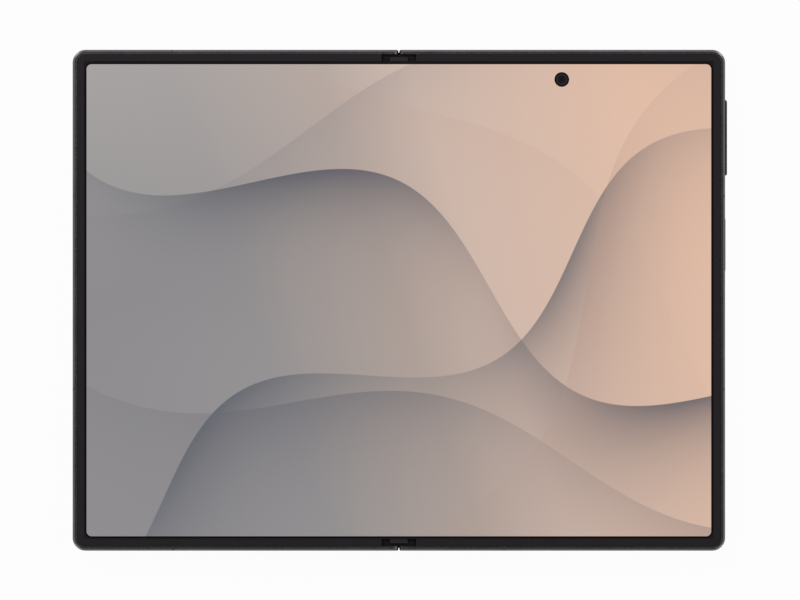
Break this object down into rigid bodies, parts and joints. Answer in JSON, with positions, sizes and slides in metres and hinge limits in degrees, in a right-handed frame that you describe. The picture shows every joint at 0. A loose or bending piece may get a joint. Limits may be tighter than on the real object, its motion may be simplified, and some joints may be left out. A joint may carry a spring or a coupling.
{
  "type": "foldable smartphone",
  "caption": "Book-type folding phone lying open: large inner screen across two halves, geared spine hinge, side keys, rear camera island and card tray.",
  "frame": {"origin": "under the middle of the open phone, on the plane that the rear lens rings stand on", "axes": "+X to the main half with the keys, +Y up the phone along the fold, +Z out of the inner screen"},
  "size_m": [0.162, 0.1238, 0.0068],
  "materials": {
    "frame": "anodised, dark grey",
    "spine": "polished dark metal",
    "key": "anodised, dark grey",
    "back_glass": "matt etched glass",
    "cover_glass": "polished glass over a dark screen",
    "lens_ring": "turned metal",
    "lens_glass": "coated lens",
    "flash": "clear diffuser",
    "camera_black": "black",
    "bezel": "fine matt",
    "display_warm": "screen film, lit",
    "display_cool": "screen film, lit",
    "display_mid": "screen film, lit",
    "steel": "stamped sheet",
    "battery": "pouch",
    "board": "solder mask",
    "screw": "plated",
    "copper": "copper winding",
    "port_steel": "deep-drawn",
    "speaker": "moulded",
    "antenna": "moulded insert",
    "hinge_steel": "metal injection moulded",
    "cap": "moulded",
    "flex": "polyimide",
    "panel": "display panel",
    "brass": "cut gear"
  },
  "bodies": {
    "hinge_spine": {"spine_shell": "spine", "hinge_bases": "hinge_steel", "hinge_end_caps": "cap", "base_screws": "screw", "display_fold": "display_mid", "lattice_plate": "steel", "hinge_flex_cables": "flex"},
    "main_half": {"main_frame": "frame", "main_back_glass": "back_glass", "camera_island": "frame", "camera_lens_rings": "lens_ring", "camera_lens_glasses": "lens_glass", "flash_lens": "flash", "rear_camera_modules": "camera_black", "main_bezel": "bezel", "display_main": "display_warm", "display_plate_main": "steel", "inner_camera": "camera_black", "inner_camera_glass": "lens_glass", "battery_main": "battery", "logic_board": "board", "shield_cans": "steel", "board_screws_main": "screw", "charging_coil": "copper", "usb_port": "port_steel", "port_board": "board", "loudspeaker": "speaker", "haptic_motor": "steel", "antenna_bands_main": "antenna", "hinge_wings_main": "hinge_steel", "wing_screws_main": "screw", "key_flex": "flex"},
    "cover_half": {"cover_frame": "frame", "cover_glass": "cover_glass", "cover_panel": "panel", "cover_bezel": "bezel", "display_cover": "display_cool", "display_plate_cover": "steel", "cover_camera": "camera_black", "battery_cover": "battery", "sub_board": "board", "board_screws_cover": "screw", "earpiece_speaker": "speaker", "antenna_bands_cover": "antenna", "hinge_wings_cover": "hinge_steel", "wing_screws_cover": "screw", "card_socket": "port_steel"},
    "idler_main": {"idler_gears_main": "brass"},
    "idler_cover": {"idler_gears_cover": "brass"},
    "volume_key": {"volume_key": "key"},
    "side_key": {"side_key": "key"},
    "card_tray": {"card_tray": "key"}
  },
  "joints": [
    {"name": "main_fold", "type": "hinge", "parent": "hinge_spine", "child": "main_half", "pos_m": [0.0013, 0, 0.0055], "axis": [0, -1, 0], "range_deg": [0, 90], "deforming": ["display_fold", "lattice_plate", "hinge_flex_cables"]},
    {"name": "cover_fold", "type": "hinge", "parent": "hinge_spine", "child": "cover_half", "pos_m": [-0.0013, 0, 0.0055], "axis": [0, 1, 0], "range_deg": [0, 90]},
    {"name": "idler_main_spin", "type": "hinge", "parent": "hinge_spine", "child": "idler_main", "pos_m": [0.0006, 0, 0.00392], "axis": [0, 1, 0], "range_deg": [0, 168.75]},
    {"name": "idler_cover_spin", "type": "hinge", "parent": "hinge_spine", "child": "idler_cover", "pos_m": [-0.0006, 0, 0.00392], "axis": [0, 1, 0], "range_deg": [-168.75, 0]},
    {"name": "volume_rock", "type": "hinge", "parent": "main_half", "child": "volume_key", "pos_m": [0.0801, 0.04025, 0.00415], "axis": [0, 0, 1], "range_deg": [-0.9, 0.9], "stiffness_Nm_per_rad": 0.3},
    {"name": "side_press", "type": "slide", "parent": "main_half", "child": "side_key", "axis": [-1, 0, 0], "range_m": [0, 0.00015], "stiffness_N_per_m": 3000},
    {"name": "tray_slide", "type": "slide", "parent": "cover_half", "child": "card_tray", "axis": [0, -1, 0], "range_m": [0, 0.0165]}
  ],
  "couplings": [
    {"joint": "cover_fold", "follows": "main_fold", "ratio": 1},
    {"joint": "idler_main_spin", "follows": "main_fold", "ratio": 1.875},
    {"joint": "idler_cover_spin", "follows": "main_fold", "ratio": -1.875}
  ]
}
